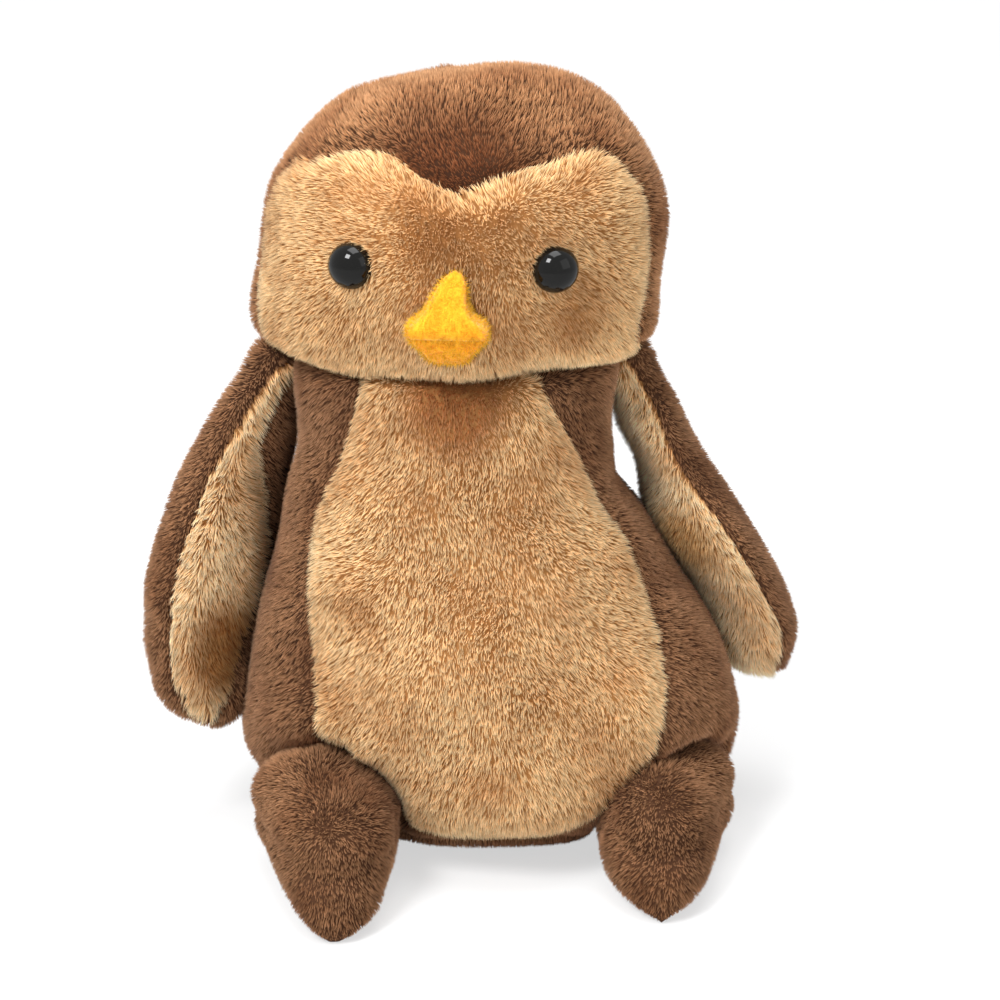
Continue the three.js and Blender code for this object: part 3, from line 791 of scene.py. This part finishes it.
def hairs_mesh(name, roots, ways, normals, width, finish, rng):
    """Tapered hairs of three sides and a foot, as one mesh. ways run from the roots to the tips."""
    count = len(roots)
    side = unit(np.cross(ways, normals + 0.3 * rng.normal(size=(count, 3))))
    other = unit(np.cross(ways, side))
    turns = [2 * math.pi * i / 3 for i in range(3)]
    radial = [side * math.cos(turn) + other * math.sin(turn) for turn in turns]
    foot = roots - normals * ROOT_DEPTH
    points = np.stack([*(foot + r * width[:, None] for r in radial), roots + ways], axis=1).reshape(-1, 3)
    points[:, 2] = np.maximum(points[:, 2], LOWEST_HAIR)
    soft = [*(unit(0.8 * normals + 0.4 * r) for r in radial), unit(normals + 0.5 * unit(ways))]
    shading = np.stack(soft, axis=1).reshape(-1, 3)
    corners = np.array([(0, 1, 3), (1, 2, 3), (2, 0, 3), (2, 1, 0)]).ravel()
    loops = (corners[None, :] + 4 * np.arange(count)[:, None]).ravel()
    mesh = bpy.data.meshes.new(name)
    mesh.vertices.add(len(points))
    mesh.vertices.foreach_set("co", points.astype(np.float32).ravel())
    mesh.loops.add(len(loops))
    mesh.loops.foreach_set("vertex_index", loops.astype(np.int32))
    mesh.polygons.add(4 * count)
    mesh.polygons.foreach_set("loop_start", (3 * np.arange(4 * count)).astype(np.int32))
    mesh.update(calc_edges=True)
    along = np.tile(np.array([0, 0, 0, 1], np.float32), count)
    mesh.attributes.new("along", "FLOAT", "POINT").data.foreach_set("value", along)
    layer = mesh.uv_layers.new(name=HAIR_MAP)
    layer.data.foreach_set("uv", hair_map(count).astype(np.float32).ravel())
    mesh.shade_smooth()
    mesh.normals_split_custom_set_from_vertices(shading.astype(np.float32))
    mesh.materials.append(finish)
    piece = bpy.data.objects.new(name, mesh)
    bpy.context.scene.collection.objects.link(piece)
    return piece


def along_cloth(way, normals):
    """The part of a direction that lies along the cloth."""
    return way - normals * np.sum(way * normals, axis=1)[:, None]


NECK = Vector(next(j for j in frame["joints"] if j["name"] == "head_turn")["pos_m"])
EYE_YAW, HEAD_TURN = 17, -4  # degrees


def line_of_eye(side, sign):
    """A point on an eye's axis, the way that it looks, and how far along it each of its points lies."""
    turn = math.radians(sign * EYE_YAW + HEAD_TURN)
    way = np.array([math.sin(turn), -math.cos(turn), 0])
    points = mesh_points(nodes["eye_" + side].data)
    across = np.array([way[1], -way[0], 0])
    width = points @ across
    middle = across * (width.max() + width.min()) / 2
    height = (points[:, 2].max() + points[:, 2].min()) / 2
    return middle + np.array([0, 0, height]), way, points @ way


EYES = {side: line_of_eye(side, sign) for side, sign in (("left", -1), ("right", 1))}
EYE_CLEARANCE, EYE_LEAN_REACH = 3.5 * MM, 3 * MM
FACE_MIDDLE = sum(np.array(sum(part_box("eye_" + side), Vector()) / 2) for side in EYES) / 2


def body_nap(points, normals):
    """Down, and outward from the middle of the belly."""
    belly = sum(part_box("belly_panel"), Vector()) / 2
    across = (points[:, 0] - belly.x) / (40 * MM)
    return np.stack([0.5 * across, np.full(len(points), -0.1), np.full(len(points), -1.0)], 1)


def face_nap(points, normals):
    """Nearly upright between the eyes, and brushed outward from there, most of all down the cheeks."""
    away = (points - FACE_MIDDLE) / (26 * MM)
    away[:, 0] *= 0.7
    away[:, 1] = 0
    away[:, 2] = np.where(away[:, 2] > 0, 0.9 * away[:, 2], 1.2 * away[:, 2]) - 0.45
    return away / np.maximum(np.linalg.norm(away, axis=1), 1)[:, None]


def hood_nap(points, normals):
    """Up and back over the crown, and down behind it and at the sides."""
    before = np.clip((NECK.y + 22 * MM - points[:, 1]) / (18 * MM), 0, 1)
    crown = (np.clip(normals[:, 2] * 1.6 + 0.35, 0, 1) * before)[:, None]
    return crown * np.array([0, 0.8, 0.25]) + (1 - crown) * np.array([0, 0.3, -0.9])


def limb_nap(body):
    """Down a wing and outward from its middle, or down and forward on a leg."""
    low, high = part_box(FORMS[body][0][0])
    middle = np.array((low + high) / 2)

    def nap(points, normals):
        if body.startswith("wing"):
            return np.array([0, 0, -1.0]) + 0.5 * unit((points - middle) * [1, 1, 0])
        return np.tile([0, -0.6, -0.8], (len(points), 1))

    return nap


def tufted(roots, ways):
    """Hairs drawn a little together at their tips, into tufts."""
    leaders = tree_of(roots[::HAIRS_IN_TUFT])
    leader = np.array([HAIRS_IN_TUFT * leaders.find(root)[1] for root in roots])
    return ways + TUFT_PULL * (roots[leader] + ways[leader] - roots - ways)


def clear_of_face_parts(roots, lean):
    """Which hairs grow beside the eyes and beak and not behind them, and their lean off the eyes."""
    keep = np.ones(len(roots), bool)
    for point, way, _ in EYES.values():
        across = roots - point
        across -= way * (across @ way)[:, None]
        away = np.linalg.norm(across, axis=1)
        keep &= away > EYE_CLEARANCE
        near = np.clip(1 - (away - EYE_CLEARANCE) / EYE_LEAN_REACH, 0, 1)
        off = near * (1 - np.clip(across[:, 2] / away, 0, 1))
        lean = lean + 0.9 * off[:, None] * unit(across)
    turn = math.radians(HEAD_TURN)
    ahead = Vector((math.sin(turn), -math.cos(turn), 0))
    x, _, z = roots.T
    for name in ("beak_upper", "beak_lower"):
        surface = surface_of(name)
        low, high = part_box(name)
        for i in np.flatnonzero((z > low.z) & (z < high.z) & (x > low.x) & (x < high.x)):
            if surface.ray_cast(Vector(roots[i]) - ahead * 2 * MM, ahead)[0]:
                keep[i] = False
    return keep, lean


# slant is how far the hairs lie over. They hang over their panel's seams where over_seam is above 0, and lean
# off them where it is below 0.
Pile = namedtuple("Pile", "finish length width slant over_seam")


def grow_pile(form, index, pile, nap):
    """The pile of one panel."""
    name = form.names[index]
    rng = np.random.default_rng(sum(map(ord, name)))
    faces = form.faces[form.panel == index]
    roots, normals = roots_on(form.points, faces, form.normals, DENSITY, rng)
    spots, away = form.way_to_seam(roots)
    near = np.exp(-((away / SEAM_REACH) ** 2))
    toward = along_cloth(unit(spots - roots), normals)
    over = pile.over_seam * near
    if name == "face_panel":  # it hangs over its upper seam the most
        over = over * (0.3 + 0.7 * np.clip(toward[:, 2], 0, 1))
    lean = pile.slant * along_cloth(nap(roots, normals), normals) + over[:, None] * toward
    stir = np.stack([lumps(roots, seed, size=STIR_SIZE, depth=1.0) for seed in (11, 12, 13)], 1)
    lean = lean + along_cloth(STIR * stir, normals)
    keep = roots[:, 2] > LOWEST_ROOT
    if name == "face_panel":
        clear, lean = clear_of_face_parts(roots, lean)
        keep &= clear
    ways = unit(normals + lean + STRAY * rng.normal(size=(len(roots), 3)))
    at_floor = np.clip(roots[:, 2] / FULL_LENGTH_FROM, 0.25, 1)
    long = pile.length * rng.uniform(*LENGTHS, len(roots)) * at_floor
    long *= 1 + SEAM_LENGTH * near * np.sign(pile.over_seam)
    wide = pile.width * rng.uniform(*WIDTHS, len(roots))
    ways = tufted(roots[keep], (ways * long[:, None])[keep])
    piece = hairs_mesh(name + "_pile", roots[keep], ways, normals[keep], wide[keep], pile.finish, rng)
    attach(piece, form.body)
    return piece


# ---------------------------------------------------------------- the owl

# pile colours: at the root, darkened as painted shade deep in the pile, in the middle, at the tip, paled as
# painted light on the tips, and the tint where it is worn
BROWN = (linear(64, 42, 28), linear(134, 94, 64), linear(190, 142, 104), linear(190, 170, 160))
# the hood is the body's brown plush painted lighter: painted light and sheen where the crown faces the lamps
HOOD_PAINTED_LIGHT = (linear(80, 51, 32), linear(150, 103, 67), linear(206, 156, 112), linear(196, 176, 166))
TAN = (linear(160, 106, 60), linear(232, 184, 128), linear(255, 232, 186), linear(214, 188, 168))
# the wing lining is the tan plush painted lighter: painted light against the shade that falls on the linings
LINING_PAINTED_LIGHT = (linear(182, 126, 76), linear(250, 206, 150), linear(255, 244, 208), linear(214, 188, 168))
FACE = (linear(152, 100, 56), linear(222, 174, 119), linear(250, 222, 174), linear(206, 180, 160))

# darker places: their middle, their reach and their tint
belly_top = (NECK + Vector((-2, -26, -5)) * MM, 16 * MM, linear(192, 158, 138))
# painted shade on the front of the crown, below its lit top
peak_painted_shade = (Vector((-4, -18, 142)) * MM, 27 * MM, linear(176, 150, 138))
# brow: painted shade across the face under the brow, between the eyes
brow = (Vector((-4, -30, 130)) * MM, 16 * MM, linear(216, 202, 190))
# cheek: painted shade on the right cheek, the side turned from the lamps
cheek = (Vector((24, -22, 116)) * MM, 16 * MM, linear(206, 186, 170))
# painted shade where the left wing's lining curls in at its lower inner part
left_fold_painted_shade = (Vector((-49, 4, 40)) * MM, 16 * MM, linear(172, 144, 114))
# painted shade on the right wing's lining along its inner edge by the body
right_fold_painted_shade = (Vector((40, 8, 60)) * MM, 14 * MM, linear(206, 182, 154))

brown_pile = pile_finish("brown_pile", *BROWN)
hood_pile = pile_finish("hood_pile", *HOOD_PAINTED_LIGHT, shades=[peak_painted_shade])
wing_pile = pile_finish("wing_pile", *LINING_PAINTED_LIGHT, shades=[left_fold_painted_shade, right_fold_painted_shade])
face_pile = pile_finish("face_pile", *FACE, shades=[brow, cheek])
belly_pile = pile_finish("belly_pile", *TAN, shades=[belly_top])
# the grounds are darker than their piles: painted shade at the foot of the pile
brown_ground = backing_finish("brown_ground", linear(52, 33, 22), linear(84, 56, 38))
tan_ground = backing_finish("tan_ground", linear(128, 84, 46), linear(170, 122, 74))

NAPS = {"body": body_nap, "head": hood_nap}
PILES = {
    "face_panel": Pile(face_pile, length=1.8 * MM, width=0.145 * MM, slant=0.65, over_seam=0.7),
    "belly_panel": Pile(belly_pile, length=1.8 * MM, width=0.145 * MM, slant=0.7, over_seam=0.15),
    "lining": Pile(wing_pile, length=2.4 * MM, width=0.15 * MM, slant=0.8, over_seam=0.9),
    "hood_panel": Pile(hood_pile, length=1.6 * MM, width=0.14 * MM, slant=0.8, over_seam=-0.5),
    "brown": Pile(brown_pile, length=1.7 * MM, width=0.145 * MM, slant=0.8, over_seam=-0.4),
}
TAN_KINDS = ("face_panel", "belly_panel", "lining")


def pile_kind(name):
    if name.endswith("_lining"):
        return "lining"
    return name if name in PILES else "brown"


def make_form(body):
    form = Form(body)
    for index, name in enumerate(form.names):
        tan = pile_kind(name) in TAN_KINDS
        cloth = panel_piece(form, index, tan_ground if tan else brown_ground)
        nap = face_nap if name == "face_panel" else NAPS.get(body) or limb_nap(body)
        grow_pile(form, index, PILES[pile_kind(name)], nap)
    return form


forms = {body: make_form(body) for body in FORMS}

# ---------------------------------------------------------------- fillings

FILLING_VOXEL = 2.4 * MM
FILLING_ROOM, LEG_FILLING_ROOM = 1.9 * MM, 3.2 * MM  # the fillings lie this far inside their solids
FILLING_DEPTH = 2.6 * MM  # and at least this deep under the cloth's outer side
fibre, beans = fibre_finish(), bean_finish()
for form in forms.values():
    for name in form.filling:
        points, faces = closed_form([name], FILLING_VOXEL)
        points = evened(points, faces, rounds=4)
        normals = normals_of(points, faces)
        loose = name.endswith("beans")
        room = LEG_FILLING_ROOM if form.body.startswith("leg") else FILLING_ROOM
        uneven = np.abs(lumps(points, seed=5, size=9 * MM, depth=0.5 * MM))
        points = points - normals * (room + uneven)[:, None]
        points = form.kept_inside(points, FILLING_DEPTH)
        piece = new_piece(name + "_lump", points, faces, beans if loose else fibre)
        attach(piece, form.body)
        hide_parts(name)

# ---------------------------------------------------------------- eyes


def make_eye(name, finish):
    """A domed eye with its shank, turned round its axis."""
    middle, way, depths = EYES[name.split("_")[1]]
    back, front = depths.min(), depths.max()
    steps, turns = 14, 48
    radius, dome, edge, shank, bevel = 4.5 * MM, 3.8 * MM, 1.2 * MM, 1.5 * MM, 0.4 * MM
    rim = front - dome - edge
    profile = [(0.0, back), (shank, back), (shank, rim), (radius - bevel, rim), (radius, rim + bevel)]
    for step in range(steps + 1):
        angle = math.pi / 2 * step / steps
        profile.append((radius * math.cos(angle), rim + edge + dome * math.sin(angle)))
    profile[-1] = (0.0, front)
    side = np.array([way[1], -way[0], 0])
    up = np.array([0, 0, 1.0])
    points, faces = [middle + way * profile[0][1]], []
    for r, along in profile[1:-1]:
        for turn in range(turns):
            a = 2 * math.pi * turn / turns
            points.append(middle + way * along + (side * math.cos(a) + up * math.sin(a)) * r)
    points.append(middle + way * profile[-1][1])
    last = len(points) - 1
    rings = len(profile) - 2
    for turn in range(turns):
        after = (turn + 1) % turns
        faces.append((0, 1 + after, 1 + turn))
        for ring in range(rings - 1):
            low, high = 1 + ring * turns, 1 + (ring + 1) * turns
            faces.append((low + turn, low + after, high + after, high + turn))
        low = 1 + (rings - 1) * turns
        faces.append((low + turn, low + after, last))
    piece = new_piece(name + "_dome", points, faces, finish)
    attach(piece, "head")
    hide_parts(name)


black = eye_finish()
for side in ("left", "right"):
    make_eye("eye_" + side, black)
    washer = nodes["eye_washer_" + side]
    washer.data.materials.clear()
    washer_plastic = plastic_finish("washer_plastic_" + side, linear(222, 219, 210), linear(240, 238, 231))
    washer.data.materials.append(washer_plastic)

# ---------------------------------------------------------------- beak

felt = {
    "beak_upper": felt_finish("beak_felt", linear(226, 136, 12), linear(242, 182, 40)),
    "beak_lower": felt_finish("lip_felt", linear(232, 130, 14), linear(246, 180, 36)),
}
# as on the pile, the fuzz's darker roots and paler tips are painted shade and painted light
fuzz_finish = pile_finish(
    "beak_fuzz", linear(226, 132, 12), linear(240, 172, 34), linear(255, 206, 74), linear(240, 220, 200)
)
beak_low, beak_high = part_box("beak_lower")[0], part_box("beak_upper")[1]

# the felt beak's cut, from its lower edge up: share of its height, share of its width, and lean in mm
BEAK_CUT = np.array([
    (0.0, 0.80, -0.7), (0.16, 0.84, -0.7), (0.30, 1.0, -0.4), (0.40, 0.86, -0.7), (0.54, 0.74, -0.9),
    (0.68, 0.74, -0.6), (0.82, 0.80, 0.0), (1.0, 0.8, 0.8),
])
BEAK_HEIGHT = 0.94  # share of the solids' height
FELT_VOXEL, FELT_PUFF = 0.6 * MM, 0.45 * MM
FUZZ_DENSITY, FUZZ_WIDTH = 14, 0.08 * MM


def trimmed(points):
    """The beak as the felt was cut: a little shorter and narrower than its solids, and leaning."""
    middle = (beak_low.x + beak_high.x) / 2
    points = points.copy()
    up = (points[:, 2] - beak_low.z) / (beak_high.z - beak_low.z)
    share, lean = (np.interp(up, BEAK_CUT[:, 0], BEAK_CUT[:, i]) for i in (1, 2))
    points[:, 0] = middle + lean * MM + share * (points[:, 0] - middle)
    points[:, 2] = beak_high.z - BEAK_HEIGHT * (beak_high.z - points[:, 2])
    return points


for name, finish in felt.items():
    points, faces = closed_form([name], FELT_VOXEL)
    points = trimmed(evened(points, faces, rounds=30, push=-0.46))
    points = points + normals_of(points, faces) * FELT_PUFF
    points, faces = subdivided(points, faces)
    piece = new_piece(name + "_felt", points, faces, finish)
    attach(piece, "head")
    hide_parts(name)
    rng = np.random.default_rng(len(name))
    roots, normals = roots_on(points, faces, normals_of(points, faces), FUZZ_DENSITY, rng)
    ways = unit(normals * 0.6 + rng.normal(size=roots.shape)) * rng.uniform(0.6, 1.5, (len(roots), 1)) * MM
    width = np.full(len(roots), FUZZ_WIDTH)
    fuzz = hairs_mesh(name + "_fuzz", roots, ways, normals, width, fuzz_finish, rng)
    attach(fuzz, "head")

# ---------------------------------------------------------------- studio


def seen(f):
    """1 for what the camera, a mirror or glass sees, 0 for the light that falls on the owl."""
    rays = ("Is Camera Ray", "Is Glossy Ray", "Is Transmission Ray")
    camera, mirror, glass = (f.node("ShaderNodeLightPath", output=ray) for ray in rays)
    return camera + mirror + glass


FLOOR_REACH, SHADOW_REACH = 4, 1.1  # metres from the middle
KEPT_SHADOW = 0.4  # share of the floor's own shade that the camera sees at the owl
EVEN_LIGHT = 0.65


def floor_finish():
    """Pale floor that is nearly white to the camera, keeps its shadows, and is white far from the owl."""
    f = Finish("studio_floor")
    speck = f.noise(size=30 * MM, detail=2)
    pale = f.mix(speck, linear(236, 236, 236), linear(240, 240, 240))
    surface = f.surface(Base_Color=pale, Roughness=0.9, Specular_IOR_Level=0.1)
    glow = f.node("ShaderNodeEmission", None, {"Color": (1, 1, 1, 1), "Strength": 1.0})
    near = shade_of(f, Vector((0, 0, 0)), SHADOW_REACH)
    white = 1 - KEPT_SHADOW * near
    share = f.node("ShaderNodeMath", {"operation": "MULTIPLY", "use_clamp": True}, {0: seen(f), 1: white})
    return f.finished(f.node("ShaderNodeMixShader", None, {0: share, 1: surface, 2: glow}))


corners = [(x * FLOOR_REACH, y * FLOOR_REACH, 0) for x, y in ((-1, -1), (1, -1), (1, 1), (-1, 1))]
floor = new_piece("studio_floor", corners, [(0, 1, 2, 3)], floor_finish())


def lamp(name, place, size, power):
    data = bpy.data.lights.new(name, "AREA")
    data.shape, data.size, data.energy = "SQUARE", size, power
    light = bpy.data.objects.new(name, data)
    light.location = place
    light.rotation_euler = (SIGHT_POINT - Vector(place)).to_track_quat("-Z", "Y").to_euler()
    bpy.context.scene.collection.objects.link(light)


lamp("window_lamp", (-0.5, -0.7, 1.05), size=0.4, power=16.5)
lamp("top_lamp", (0.05, -0.05, 1.25), size=0.7, power=10)
lamp("room_lamp", (0.9, -0.6, 0.6), size=0.8, power=2)


def light_world():
    """White to the camera, and a weaker even light on the owl."""
    world = bpy.data.worlds.new("studio_world")
    bpy.context.scene.world = world
    world.use_nodes = True
    f = Finish("studio_light", world.node_tree)
    strength = f.node(
        "ShaderNodeMapRange", {"clamp": True}, {"Value": seen(f), "To Min": EVEN_LIGHT, "To Max": 1.0}
    )
    background = world.node_tree.nodes["Background"]
    background.inputs["Color"].default_value = (1, 1, 1, 1)
    world.node_tree.links.new(strength.socket, background.inputs["Strength"])


light_world()
bpy.context.scene.view_settings.view_transform = "Standard"
